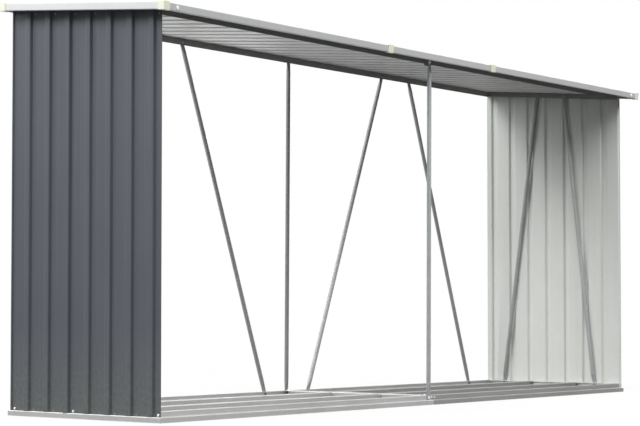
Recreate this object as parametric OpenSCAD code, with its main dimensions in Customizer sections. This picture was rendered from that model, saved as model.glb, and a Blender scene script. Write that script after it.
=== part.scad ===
// Log store: an open steel frame with two ribbed end walls and a ribbed lean-to roof.
// Millimetres, +Z up, +X along the length, the open front faces -Y.

/* [Overall] */
// Length over the roof corner caps
roof_length = 3300; // [2400:10:4200]
// Depth over the roof corner caps
roof_depth = 840; // [700:5:1200]
// Height to the top of the back corner caps
height = 1520; // [1200:10:2200]
// Slope of the roof, rising towards the back, in degrees
roof_slope = 5.65; // [2:0.05:10]

/* [Roof overhang past the base] */
// At each end
overhang_side = 54; // [20:1:80]
// At the front
overhang_front = 64; // [20:1:120]
// At the back
overhang_back = 0; // [0:1:60]

/* [Base rails] */
// Height of the rails
rail_height = 40; // [34:1:60]
// Height of the outer lip and of the ledge the walls stand on
ledge_height = 20; // [12:1:24]
// Width of the ledge, from the outer edge to the upstand
ledge_width = 15; // [13:1:40]
// Width of the return at the top of the upstand
rail_return = 16; // [8:1:30]
// Thickness of the rail sheet
rail_sheet = 2; // [1:0.1:3]
// Distance of the joint in the front and back rails from mid length
rail_joint = 19; // [14:1:60]

/* [Floor rails] */
// Width of the cross rail at mid length
cross_rail_width = 44; // [30:1:80]
// Width of the long floor stringers
stringer_width = 30; // [20:1:60]

/* [Wall and roof sheet] */
// Thickness of the ribbed sheet
panel_sheet = 1.5; // [0.8:0.1:2.5]
// Rise of a rib above the pans
rib_rise = 10.5; // [6:0.5:14]
// Width of the flat top of a rib
rib_top = 24; // [14:1:50]
// Width taken by the slanting side of a rib
rib_flank = 6; // [3:1:18]
// Width of the flat strip of a wall's folded edge
edge_top = 4; // [2:0.5:10]
// Rise of the folded edge above the pans
edge_rise = 6; // [3:0.5:10]
// Width taken by the slanting side of the folded edge
edge_flank = 3; // [2:0.5:8]
// Ribs in one wall
wall_ribs = 7; // [5:1:8]
// Distance of the wall edges from the outer edge of the base
wall_edge_inset = 9; // [4:1:20]
// Ribs along the roof
roof_ribs = 30; // [20:1:34]
// Width of the lap between two roof sheets
roof_lap = 10; // [4:1:16]

/* [Top rails] */
// Height of the front and end rails under the roof
beam_height = 22; // [18:1:50]
// Height of the back rail under the roof
back_beam_height = 26; // [18:1:50]
// Thickness of the top rail sheet
beam_sheet = 2; // [1:0.1:3]

/* [Tubes] */
// Diameter of the posts and braces
tube_diameter = 18; // [12:1:24]
// Thickness of a flattened tube end
tab_thickness = 3; // [2:0.5:5]
// Radius of the rounded tube end
tab_radius = 10; // [6:0.5:11]
// Length over which a tube is flattened
flatten_length = 32; // [16:1:60]

/* [Braces] */
// Distance between the two brace tops in a back bay
back_apex_gap = 210; // [60:2:500]
// Distance of the middle feet at the back from mid length, away from the rail joint
back_foot_shift = 13; // [0:1:40]
// Distance of the top of the front post from mid length
front_top_shift = 12; // [0:1:40]
// Distance of the inner brace feet from the foot of the back post
back_foot_inner = 145; // [60:1:300]
// Distance of the outer brace feet from the ends of the back
back_foot_outer = 178; // [60:1:300]
// Distance between the two brace tops on a wall
wall_apex_gap = 150; // [60:1:300]
// Distance of a brace foot from the end of a wall with the folded edge
wall_foot_folded = 134; // [60:1:180]
// Distance of a brace foot from the plain end of a wall
wall_foot_plain = 96; // [60:1:180]

/* [Roof edge trims] */
// Height of the trims
trim_height = 26; // [24:1:50]
// Thickness of the trim sheet
trim_sheet = 2; // [1:0.1:3]
// Width of the trim over the roof sheet
trim_flange = 25; // [12:1:40]
// Width of the lip under the trim
trim_lip = 12; // [6:1:20]
// Length of the middle trim at the front and back
trim_middle = 734; // [300:2:1400]
// Distance of the middle of that trim from mid length
trim_shift = 12; // [0:1:60]
// Length of a corner cap along each edge
cap_length = 30; // [20:1:60]
// Thickness of the caps and clips beside and under the trims
cap_wall = 2; // [1:0.5:4]
// Thickness of the caps and clips above the trims
cap_top = 4; // [1:0.5:6]
// Width of a joint clip
clip_width = 36; // [16:1:80]

/* [Hidden] */
// Roundness of curves
$fn = 28;
// Inset of a flattened end inside the tube
seat = 0.2;
// Length of a thin slice used to shape a flattened end
slice = 0.6;
// Share of a pitch from the back edge of a wall to its first rib edge
rib_first = 0.977;
// Share of a pitch that the plain edge strips of a wall add up to
rib_edges = 0.25;
// The rib on which the two sheets of a wall lap
lap_rib = 2;
// Number of panels along the roof
roof_panels = 4;
// Height of the corner caps
cap_height = cap_wall + trim_height + cap_top;
// Length of the roof along its slope
slope_len = (roof_depth - cap_height * sin(roof_slope)) / cos(roof_slope);
// Front lower edge of the sloping roof frame
roof_y = -roof_depth / 2 + cap_height * sin(roof_slope);
// Height of the front lower edge of the roof frame
roof_z = height - slope_len * sin(roof_slope) - cap_height * cos(roof_slope);
// Inner face of the trims, measured from the roof edge
trim_in = cap_wall + trim_sheet;
// Half length between the inner faces of the end trims
roof_x = roof_length / 2 - trim_in;
// Level of the underside of the trim tops, above the roof frame
rib_level = cap_wall + trim_height - trim_sheet;
// Level of the underside of the roof sheet, above the roof frame
sheet_level = rib_level - rib_rise - panel_sheet;
// Half length of the base
base_x = roof_length / 2 - overhang_side;
// Front edge of the base
base_front = -roof_depth / 2 + overhang_front;
// Back edge of the base
base_back = roof_depth / 2 - overhang_back;
// Middle of the base depth
base_mid = (base_front + base_back) / 2;
// Width of a base rail
rail_width = ledge_width + rail_return;
// Outer face of the end upstands
face_x = base_x - ledge_width;
// Outer face of the front upstand
face_front = base_front + ledge_width;
// Outer face of the back upstand
face_back = base_back - ledge_width;
// Inner face of the wall pans
wall_x = face_x + tab_thickness;
// Depth of a wall
wall_depth = base_back - base_front - 2 * wall_edge_inset;
// Distance between wall ribs
wall_pitch = wall_depth / (wall_ribs + rib_edges);
// Distance between roof ribs
roof_pitch = 2 * roof_x / roof_ribs;
// Radius of the tubes
tube_r = tube_diameter / 2;
// Height of the bolts at the tube feet
foot_z = ledge_height + tab_radius;
// Length of the flat part of a tube end, from its bolt
flat_len = max(rail_height - foot_z, beam_height / 2, back_beam_height / 2) + tab_radius / 2;
// Middle of a back bay
bay_mid = face_x / 2;
// Distance of the floor stringers from the middle of the base
stringer_y = (base_back - base_front) / 6;
// First and last joint of the front and back trims
trim_joints = [trim_shift - trim_middle / 2, trim_shift + trim_middle / 2];
// Depth of floor between the front and back rails
floor_depth = base_back - base_front - 2 * rail_width;
// Reach of the slab that limits the wall tops
far = roof_length;

// Point of the sloping roof frame, as depth and height
function roof_at(v, w) = [
    roof_y + v * cos(roof_slope) - w * sin(roof_slope),
    roof_z + v * sin(roof_slope) + w * cos(roof_slope)
];

// Height of a level of the roof frame at one depth
function level_z(y, w) = roof_z + w / cos(roof_slope) + (y - roof_y) * tan(roof_slope);

// Height of the bolts at the tube tops, at one depth, in a rail of one height
function top_z(y, rail) = level_z(y, sheet_level) - rail / 2;

// Reversed list of points, moved by the sheet thickness
function under(pts, t) = [for (i = [len(pts) - 1 : -1 : 0]) [pts[i][0], pts[i][1] + t]];

// Distance of the outer foot of a rib's near side from the back edge of a wall
function rib_end(i) = wall_pitch * (i + rib_first) + rib_flank / 2;

// The four bends of a wall rib
function wall_rib(i) = [
    [rib_end(i) - rib_top - 2 * rib_flank, 0],
    [rib_end(i) - rib_top - rib_flank, rib_rise],
    [rib_end(i) - rib_flank, rib_rise],
    [rib_end(i), 0]
];

// The four bends of a roof rib
function roof_rib(i) = [
    [-roof_x + roof_pitch * (i + 1 / 2) - rib_top / 2 - rib_flank, 0],
    [-roof_x + roof_pitch * (i + 1 / 2) - rib_top / 2, rib_rise],
    [-roof_x + roof_pitch * (i + 1 / 2) + rib_top / 2, rib_rise],
    [-roof_x + roof_pitch * (i + 1 / 2) + rib_top / 2 + rib_flank, 0]
];

// First rib of a roof panel
function panel_rib(k) = k > roof_panels / 2
    ? roof_ribs - panel_rib(roof_panels - k)
    : round(k * roof_ribs / roof_panels);

// Section of a base rail: bottom flange, lip, ledge, upstand and return
module rail_section() {
    polygon([
        [rail_width, 0],
        [0, 0],
        [0, ledge_height],
        [ledge_width, ledge_height],
        [ledge_width, rail_height],
        [rail_width, rail_height],
        [rail_width, rail_height - rail_sheet],
        [ledge_width + rail_sheet, rail_height - rail_sheet],
        [ledge_width + rail_sheet, ledge_height - rail_sheet],
        [rail_sheet, ledge_height - rail_sheet],
        [rail_sheet, rail_sheet],
        [rail_width, rail_sheet]
    ]);
}

// Front base rail from the left corner, where it is mitred, to its joint
module front_rail_half(joint) {
    intersection() {
        translate([-base_x, base_front, 0])
        rotate([90, 0, 90])
        linear_extrude(base_x + joint)
        rail_section();
        linear_extrude(rail_height)
        polygon([
            [-base_x, base_front],
            [joint, base_front],
            [joint, base_front + rail_width],
            [-base_x + rail_width, base_front + rail_width]
        ]);
    }
}

// Back base rail from the left corner to its joint, the front one mirrored to face back
module back_rail_half(joint) {
    translate([0, 2 * base_mid, 0])
    mirror([0, 1, 0])
    front_rail_half(joint);
}

// Base rail under the left wall, mitred at both corners
module end_rail() {
    intersection() {
        translate([-base_x, base_back, 0])
        rotate([90, 0, 0])
        linear_extrude(base_back - base_front)
        rail_section();
        linear_extrude(rail_height)
        polygon([
            [-base_x, base_front],
            [-base_x + rail_width, base_front + rail_width],
            [-base_x + rail_width, base_back - rail_width],
            [-base_x, base_back]
        ]);
    }
}

// Floor rail section: a channel open below
module channel_section(width) {
    difference() {
        translate([-width / 2, 0])
        square([width, rail_height]);
        translate([-width / 2 + rail_sheet, -rail_sheet])
        square([width - 2 * rail_sheet, rail_height]);
    }
}

// Floor stringer of the left half at one side of the middle
module stringer(y) {
    translate([-base_x + rail_width, base_mid + y, 0])
    rotate([90, 0, 90])
    linear_extrude(base_x - rail_width - cross_rail_width / 2)
    channel_section(stringer_width);
}

// Everything below a level of the sloping roof
module below_roof(w) {
    translate([-far, 0, 0])
    rotate([90, 0, 90])
    linear_extrude(2 * far)
    polygon([
        [-far, 0],
        [far, 0],
        [far, level_z(far, w)],
        [-far, level_z(-far, w)]
    ]);
}

// Ribbed sheet standing as the left wall, from its plan points
module left_sheet(pts) {
    translate([-wall_x, base_back - wall_edge_inset, ledge_height])
    linear_extrude(height)
    polygon([for (p = concat(pts, under(pts, panel_sheet))) [-p[1], -p[0]]]);
}

// Back sheet of the left wall, up to the lapped rib
module wall_back_sheet() {
    left_sheet(concat(
        [[0, edge_rise], [edge_top, edge_rise], [edge_top + edge_flank, 0]],
        [for (i = [0 : lap_rib - 1]) each wall_rib(i)],
        [for (k = [0 : 2]) wall_rib(lap_rib)[k]]
    ));
}

// Front sheet of the left wall, lapped over the back one
module wall_front_sheet() {
    left_sheet(concat(
        [[wall_rib(lap_rib)[1][0], rib_rise + panel_sheet]],
        [[wall_rib(lap_rib)[2][0], rib_rise + panel_sheet]],
        [wall_rib(lap_rib)[3]],
        [for (i = [lap_rib + 1 : wall_ribs - 1]) each wall_rib(i)],
        [[wall_depth, 0]]
    ));
}

// Turns a part of the left wall round to the right one
module to_right_wall() {
    translate([0, 2 * base_mid, 0])
    rotate([0, 0, 180])
    children();
}

// Section running along X, from the left to mid length
module left_half(x) {
    translate([-x, 0, 0])
    rotate([90, 0, 90])
    linear_extrude(x)
    children();
}

// Top rail over the left half of one long side: a web between the walls, and a flange out to the trim
module long_beam_half(outer, inner, edge, rail) {
    low = level_z(outer, sheet_level) - rail;
    web_level = sheet_level - beam_sheet / 2;
    left_half(roof_x)
    polygon([
        [inner, level_z(inner, sheet_level - beam_sheet)],
        [inner, level_z(inner, sheet_level)],
        roof_at(edge, sheet_level),
        roof_at(edge, sheet_level - beam_sheet)
    ]);
    left_half(face_x)
    polygon([
        [outer, low],
        [inner, low],
        [inner, level_z(inner, web_level)],
        [outer, level_z(outer, web_level)]
    ]);
}

// Top rail over the left half of the front
module front_beam_half() {
    long_beam_half(face_front, face_front + beam_sheet, trim_in, beam_height);
}

// Top rail over the left half of the back
module back_beam_half() {
    long_beam_half(face_back, face_back - beam_sheet, slope_len - trim_in, back_beam_height);
}

// Places a piece in the sloping roof frame
module on_roof() {
    translate([0, roof_y, roof_z])
    rotate([roof_slope, 0, 0])
    children();
}

// Runs a section of the roof frame along the slope
module along_slope(v0, v1) {
    translate([0, v1, 0])
    rotate([90, 0, 0])
    linear_extrude(v1 - v0)
    children();
}

// Sloping top rail over the left wall, between the front and back rails
module end_beam() {
    intersection() {
        on_roof()
        along_slope(0, slope_len)
        polygon([
            [-face_x, sheet_level - beam_height],
            [-face_x + beam_sheet, sheet_level - beam_height],
            [-face_x + beam_sheet, sheet_level],
            [-roof_x, sheet_level],
            [-roof_x, sheet_level - beam_sheet],
            [-face_x, sheet_level - beam_sheet]
        ]);
        translate([-far, face_front + beam_sheet, 0])
        cube([2 * far, face_back - face_front - 2 * beam_sheet, 2 * height]);
    }
}

// Flattened tube end, from the bolt upwards, with the tube's axis set off from its flat face
module tube_end(axis) {
    rotate([90, 0, 0])
    translate([0, 0, -tab_thickness])
    linear_extrude(tab_thickness)
    union() {
        circle(tab_radius);
        translate([-tab_radius, 0])
        square([2 * tab_radius, flat_len]);
    }
    hull() {
        translate([-tab_radius, 0, flat_len])
        cube([2 * tab_radius, tab_thickness, slice]);
        translate([0, axis, flat_len + flatten_length])
        cylinder(h = slice, r = tube_r - seat);
    }
}

// Tube of one length between its bolts, its flat ends in the plane y = 0
module tube(length, axis) {
    tube_end(axis);
    translate([0, 0, length])
    mirror([0, 0, 1])
    tube_end(axis);
    translate([0, axis, flat_len + flatten_length])
    cylinder(h = length - 2 * flat_len - 2 * flatten_length, r = tube_r);
}

// Tube in an upright plane along X, from a foot to a top
module tube_along_x(x0, z0, x1, z1, axis) {
    translate([x0, 0, z0])
    rotate([0, atan2(x1 - x0, z1 - z0), 0])
    tube(norm([x1 - x0, z1 - z0]), axis);
}

// Tube on the outer face of the back rails, in line with its flat ends
module back_tube(x0, x1) {
    translate([0, face_back, 0])
    tube_along_x(x0, foot_z, x1, top_z(face_back, back_beam_height), tab_thickness / 2);
}

// Tube between the left wall and its rails, its flat side on the wall
module wall_tube(y0, y1) {
    translate([-wall_x, base_mid, 0])
    rotate([0, 0, -90])
    tube_along_x(-y0, foot_z, -y1, top_z(base_mid + y1, beam_height), tube_r);
}

// The same tube at the right wall
module right_wall_tube(y0, y1) {
    mirror([1, 0, 0])
    wall_tube(y0, y1);
}

// Ribbed roof sheet, with its first edge lapped over the sheet before it
module roof_sheet(k) {
    first = panel_rib(k);
    last = panel_rib(k + 1);
    start = -roof_x + first * roof_pitch;
    stop = -roof_x + last * roof_pitch;
    lead = k == 0 ? [[start, 0]]
        : [[start, panel_sheet], [start + roof_lap, panel_sheet], [start + roof_lap + 2 * panel_sheet, 0]];
    pts = concat(
        lead,
        [for (i = [first : last - 1]) each roof_rib(i)],
        [[k == roof_panels - 1 ? stop : stop + roof_lap, 0]]
    );
    on_roof()
    along_slope(trim_in, slope_len - trim_in)
    translate([0, sheet_level])
    polygon(concat(pts, under(pts, panel_sheet)));
}

// Section of a roof edge trim, its outer face towards -x
module trim_section() {
    translate([cap_wall, cap_wall])
    polygon([
        [trim_lip, 0],
        [0, 0],
        [0, trim_height],
        [trim_flange, trim_height],
        [trim_flange, trim_height - trim_sheet],
        [trim_sheet, trim_height - trim_sheet],
        [trim_sheet, trim_sheet],
        [trim_lip, trim_sheet]
    ]);
}

// Length of front trim
module front_trim(x0, x1) {
    on_roof()
    translate([x0, 0, 0])
    rotate([90, 0, 90])
    linear_extrude(x1 - x0)
    trim_section();
}

// Length of back trim
module back_trim(x0, x1) {
    on_roof()
    translate([x0, slope_len, 0])
    mirror([0, 1, 0])
    rotate([90, 0, 90])
    linear_extrude(x1 - x0)
    trim_section();
}

// Trim over the left wall
module end_trim() {
    on_roof()
    along_slope(cap_length, slope_len - cap_length)
    translate([-roof_length / 2, 0])
    trim_section();
}

// Moulded cap over the front left roof corner
module corner_cap() {
    difference() {
        cube([cap_length, cap_length, cap_height]);
        translate([trim_in, trim_in, trim_in])
        cube([cap_length, cap_length, rib_level - trim_in]);
        translate([cap_wall + trim_lip, cap_wall + trim_lip, -trim_in])
        cube([cap_length, cap_length, 2 * trim_in + slice]);
    }
}

// Moulded clip over a joint between two front trims
module joint_clip(x) {
    translate([x - clip_width / 2, 0, 0])
    rotate([90, 0, 90])
    linear_extrude(clip_width)
    polygon([
        [cap_wall + trim_lip, 0],
        [0, 0],
        [0, cap_height],
        [cap_wall + trim_flange, cap_height],
        [cap_wall + trim_flange, cap_height - cap_top],
        [cap_wall, cap_height - cap_top],
        [cap_wall, cap_wall],
        [cap_wall + trim_lip, cap_wall]
    ]);
}

// Mirrors a roof edge piece to the back edge
module to_back_edge() {
    translate([0, slope_len, 0])
    mirror([0, 1, 0])
    children();
}

module base_rail_front_left() {
    color("silver") front_rail_half(rail_joint);
}

module base_rail_front_right() {
    color("silver") mirror([1, 0, 0]) front_rail_half(-rail_joint);
}

module base_rail_back_left() {
    color("silver") back_rail_half(rail_joint);
}

module base_rail_back_right() {
    color("silver") mirror([1, 0, 0]) back_rail_half(-rail_joint);
}

module base_rail_left() {
    color("silver") end_rail();
}

module base_rail_right() {
    color("silver") mirror([1, 0, 0]) end_rail();
}

module base_cross_rail() {
    color("silver")
    translate([0, base_back - rail_width, 0])
    rotate([90, 0, 0])
    linear_extrude(floor_depth)
    channel_section(cross_rail_width);
}

module floor_stringer_front_left() {
    color("silver") stringer(-stringer_y);
}

module floor_stringer_front_right() {
    color("silver") mirror([1, 0, 0]) stringer(-stringer_y);
}

module floor_stringer_back_left() {
    color("silver") stringer(stringer_y);
}

module floor_stringer_back_right() {
    color("silver") mirror([1, 0, 0]) stringer(stringer_y);
}

module left_wall_back_panel() {
    color("dimgray")
    intersection() {
        wall_back_sheet();
        below_roof(sheet_level - beam_sheet);
    }
}

module left_wall_front_panel() {
    color("dimgray")
    intersection() {
        wall_front_sheet();
        below_roof(sheet_level - beam_sheet);
    }
}

module right_wall_back_panel() {
    color("dimgray")
    intersection() {
        to_right_wall() wall_front_sheet();
        below_roof(sheet_level - beam_sheet);
    }
}

module right_wall_front_panel() {
    color("dimgray")
    intersection() {
        to_right_wall() wall_back_sheet();
        below_roof(sheet_level - beam_sheet);
    }
}

module top_rail_front_left() {
    color("darkslategray") front_beam_half();
}

module top_rail_front_right() {
    color("darkslategray") mirror([1, 0, 0]) front_beam_half();
}

module top_rail_back_left() {
    color("darkslategray") back_beam_half();
}

module top_rail_back_right() {
    color("darkslategray") mirror([1, 0, 0]) back_beam_half();
}

module top_rail_left() {
    color("darkslategray") end_beam();
}

module top_rail_right() {
    color("darkslategray") mirror([1, 0, 0]) end_beam();
}

module front_center_post() {
    color("gray")
    translate([0, face_front, 0])
    mirror([0, 1, 0])
    tube_along_x(0, foot_z, front_top_shift, top_z(face_front, beam_height), tab_thickness / 2);
}

module back_center_post() {
    color("gray") back_tube(-back_foot_shift, 0);
}

module back_brace_left_outer() {
    color("gray") back_tube(-face_x + back_foot_outer, -bay_mid - back_apex_gap / 2);
}

module back_brace_left_inner() {
    color("gray") back_tube(-back_foot_shift - back_foot_inner, -bay_mid + back_apex_gap / 2);
}

module back_brace_right_inner() {
    color("gray") back_tube(-back_foot_shift + back_foot_inner, bay_mid - back_apex_gap / 2);
}

module back_brace_right_outer() {
    color("gray") back_tube(face_x - back_foot_outer, bay_mid + back_apex_gap / 2);
}

module left_wall_brace_back() {
    color("gray") wall_tube(face_back - base_mid - wall_foot_folded, wall_apex_gap / 2);
}

module left_wall_brace_front() {
    color("gray") wall_tube(face_front - base_mid + wall_foot_plain, -wall_apex_gap / 2);
}

module right_wall_brace_back() {
    color("gray") right_wall_tube(face_back - base_mid - wall_foot_plain, wall_apex_gap / 2);
}

module right_wall_brace_front() {
    color("gray") right_wall_tube(face_front - base_mid + wall_foot_folded, -wall_apex_gap / 2);
}

module roof_panel_1() {
    color("dimgray") roof_sheet(0);
}

module roof_panel_2() {
    color("dimgray") roof_sheet(1);
}

module roof_panel_3() {
    color("dimgray") roof_sheet(2);
}

module roof_panel_4() {
    color("dimgray") roof_sheet(3);
}

module trim_front_left() {
    color("gainsboro") front_trim(-roof_length / 2 + cap_length, trim_joints[0]);
}

module trim_front_middle() {
    color("gainsboro") front_trim(trim_joints[0], trim_joints[1]);
}

module trim_front_right() {
    color("gainsboro") front_trim(trim_joints[1], roof_length / 2 - cap_length);
}

module trim_back_left() {
    color("gainsboro") back_trim(-roof_length / 2 + cap_length, trim_joints[0]);
}

module trim_back_middle() {
    color("gainsboro") back_trim(trim_joints[0], trim_joints[1]);
}

module trim_back_right() {
    color("gainsboro") back_trim(trim_joints[1], roof_length / 2 - cap_length);
}

module trim_left() {
    color("gainsboro") end_trim();
}

module trim_right() {
    color("gainsboro") mirror([1, 0, 0]) end_trim();
}

module corner_caps() {
    color("ivory")
    on_roof()
    for (m = [0, 1]) {
        mirror([m, 0, 0]) {
            translate([-roof_length / 2, 0, 0]) corner_cap();
            to_back_edge() translate([-roof_length / 2, 0, 0]) corner_cap();
        }
    }
}

module joint_clips() {
    color("ivory")
    on_roof()
    for (x = trim_joints) {
        joint_clip(x);
        to_back_edge() joint_clip(x);
    }
}

base_rail_front_left();
base_rail_front_right();
base_rail_back_left();
base_rail_back_right();
base_rail_left();
base_rail_right();
base_cross_rail();
floor_stringer_front_left();
floor_stringer_front_right();
floor_stringer_back_left();
floor_stringer_back_right();
left_wall_back_panel();
left_wall_front_panel();
right_wall_back_panel();
right_wall_front_panel();
top_rail_front_left();
top_rail_front_right();
top_rail_back_left();
top_rail_back_right();
top_rail_left();
top_rail_right();
front_center_post();
back_center_post();
back_brace_left_outer();
back_brace_left_inner();
back_brace_right_inner();
back_brace_right_outer();
left_wall_brace_back();
left_wall_brace_front();
right_wall_brace_back();
right_wall_brace_front();
roof_panel_1();
roof_panel_2();
roof_panel_3();
roof_panel_4();
trim_front_left();
trim_front_middle();
trim_front_right();
trim_back_left();
trim_back_middle();
trim_back_right();
trim_left();
trim_right();
corner_caps();
joint_clips();
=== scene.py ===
"""Looks of a long, low log store of ribbed sheet steel: folds, finishes, fasteners and studio."""

import logging
import math
from dataclasses import dataclass, replace
from enum import Enum
from functools import cached_property
from itertools import chain
from typing import Callable, Iterable, Iterator, Sequence

import bmesh
import bpy
from mathutils import Matrix, Vector


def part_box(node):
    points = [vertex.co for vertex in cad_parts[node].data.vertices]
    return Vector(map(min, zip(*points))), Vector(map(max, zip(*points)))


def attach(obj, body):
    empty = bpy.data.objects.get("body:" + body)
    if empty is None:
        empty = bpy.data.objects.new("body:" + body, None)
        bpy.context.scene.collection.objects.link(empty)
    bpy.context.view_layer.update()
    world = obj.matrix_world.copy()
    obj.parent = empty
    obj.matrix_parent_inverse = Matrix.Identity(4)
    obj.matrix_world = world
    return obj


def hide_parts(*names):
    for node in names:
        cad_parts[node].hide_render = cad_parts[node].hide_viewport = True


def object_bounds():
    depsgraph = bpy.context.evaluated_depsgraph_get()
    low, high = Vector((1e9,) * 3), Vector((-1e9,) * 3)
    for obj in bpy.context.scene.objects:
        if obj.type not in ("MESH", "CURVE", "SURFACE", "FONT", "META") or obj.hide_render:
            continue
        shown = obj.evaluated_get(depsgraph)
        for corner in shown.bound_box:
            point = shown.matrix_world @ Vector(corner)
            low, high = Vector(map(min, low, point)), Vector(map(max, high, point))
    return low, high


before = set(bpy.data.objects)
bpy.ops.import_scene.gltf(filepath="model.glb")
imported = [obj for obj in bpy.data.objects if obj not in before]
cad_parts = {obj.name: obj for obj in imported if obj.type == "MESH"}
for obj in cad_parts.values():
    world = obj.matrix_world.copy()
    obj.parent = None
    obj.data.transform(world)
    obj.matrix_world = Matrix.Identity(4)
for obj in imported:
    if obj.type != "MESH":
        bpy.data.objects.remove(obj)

CAD_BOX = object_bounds()
LOG = logging.getLogger("log_store")
Piece = bpy.types.Object
Socket = bpy.types.NodeSocket
Triple = tuple[float, float, float]

MM = 0.001
UP = Vector((0.0, 0.0, 1.0))
WHITE = (1.0, 1.0, 1.0)
FOLD_LAYER = "fold"
MERGE_GAP = 0.01 * MM
LEVEL_GAP = 0.05 * MM
FLAT_ANGLE = math.radians(0.5)
SMOOTH_ANGLE = math.radians(35.0)
FACING = 0.9


class Slot(Enum):
    """Material slots of the record."""

    BASE_RAILS = "base_rails"
    WALL_SHEET = "wall_sheet"
    TOP_RAILS = "top_rails"
    TUBES = "tubes"
    ROOF_SHEET = "roof_sheet"
    EDGE_TRIM = "edge_trim"
    CAPS = "caps"


class Element(Enum):
    """What a selection takes, with the name of its list in a mesh."""

    EDGE = "edges"
    FACE = "faces"


class Side(Enum):
    """The four sides of the store, by the direction that each one faces."""

    LEFT = (-1.0, 0.0, 0.0)
    RIGHT = (1.0, 0.0, 0.0)
    FRONT = (0.0, -1.0, 0.0)
    BACK = (0.0, 1.0, 0.0)

    @property
    def label(self) -> str:
        """The side's word in the names of the nodes."""
        return self.name.lower()

    @property
    def outward(self) -> Vector:
        """Direction away from the middle of the store."""
        return Vector(self.value)

    @property
    def sign(self) -> float:
        """Sign of that direction along its axis."""
        return sum(self.value)


ENDS = (Side.LEFT, Side.RIGHT)
LONG_SIDES = (Side.FRONT, Side.BACK)


@dataclass(frozen=True)
class Gauge:
    """Thicknesses and small sizes that the sheet parts share, in metres."""

    rail_sheet: float = 2.0 * MM
    panel_sheet: float = 1.5 * MM
    trim_sheet: float = 2.0 * MM
    trim_height: float = 26.0 * MM
    trim_flange: float = 25.0 * MM
    tab: float = 3.0 * MM
    tab_radius: float = 10.0 * MM
    ledge_width: float = 15.0 * MM
    ledge_height: float = 20.0 * MM


GAUGE = Gauge()


@dataclass(frozen=True)
class Layout:
    """Places of the main faces, read from the frame, in metres.

    Edges are the outer edges of the base, and trims the low outer corners of the long trims at X = 0.
    """

    edges: dict[Side, float]
    trims: dict[Side, Vector]
    rail_top: float
    rail_joint: float
    wall_face: float
    wall_front: float
    wall_back: float
    wall_base: float
    wall_top_back: float
    slope: float
    roof_half: float

    @classmethod
    def from_frame(cls) -> "Layout":
        """Read the layout from the boxes of the nodes.

        Returns:
            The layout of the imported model.
        """
        rail_low, rail_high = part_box("base_rail_front_left")
        back_low, back_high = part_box("left_wall_back_panel")
        front_low, front_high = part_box("left_wall_front_panel")
        trim_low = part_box("trim_front_left")[0]
        trim_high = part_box("trim_back_left")[1]
        slope = math.atan2(back_high.z - front_high.z, back_high.y - front_high.y)
        height = GAUGE.trim_height
        return cls(
            edges={
                Side.LEFT: rail_low.x,
                Side.RIGHT: -rail_low.x,
                Side.FRONT: rail_low.y,
                Side.BACK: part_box("base_rail_back_left")[1].y,
            },
            trims={
                Side.FRONT: Vector((0.0, trim_low.y + height * math.sin(slope), trim_low.z)),
                Side.BACK: Vector((0.0, trim_high.y, trim_high.z - height * math.cos(slope))),
            },
            rail_top=rail_high.z,
            rail_joint=rail_high.x,
            wall_face=-(back_high.x - GAUGE.panel_sheet),
            wall_front=front_low.y,
            wall_back=back_high.y,
            wall_base=back_low.z,
            wall_top_back=back_high.z,
            slope=slope,
            roof_half=CAD_BOX[1].x,
        )

    def face(self, side: Side) -> float:
        """Give the place of the outer face of a side's upstand and top rail, along its axis."""
        return self.edges[side] - side.sign * GAUGE.ledge_width

    @property
    def middle(self) -> float:
        """Y of the middle of the base."""
        return (self.edges[Side.FRONT] + self.edges[Side.BACK]) / 2

    @property
    def bolt_level(self) -> float:
        """Height of the bolts through the base upstands."""
        return (GAUGE.ledge_height + self.rail_top) / 2

    @property
    def roof_up(self) -> Vector:
        """Direction square to the roof, upwards."""
        return Vector((0.0, -math.sin(self.slope), math.cos(self.slope)))

    @property
    def roof_along(self) -> Vector:
        """Direction up the roof, from the front to the back."""
        return Vector((0.0, math.cos(self.slope), math.sin(self.slope)))

    def wall_top(self, y: float) -> float:
        """Give the height of the cut top of an end wall at one Y."""
        return self.wall_top_back + (y - self.wall_back) * math.tan(self.slope)


@dataclass(frozen=True)
class Grain:
    """A noise: how often it changes in a metre and how many finer layers it has."""

    scale: float
    detail: float


@dataclass(frozen=True)
class Span:
    """A clamped linear map from one range of values to another."""

    low: float
    high: float
    to_low: float = 0.0
    to_high: float = 1.0


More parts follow.
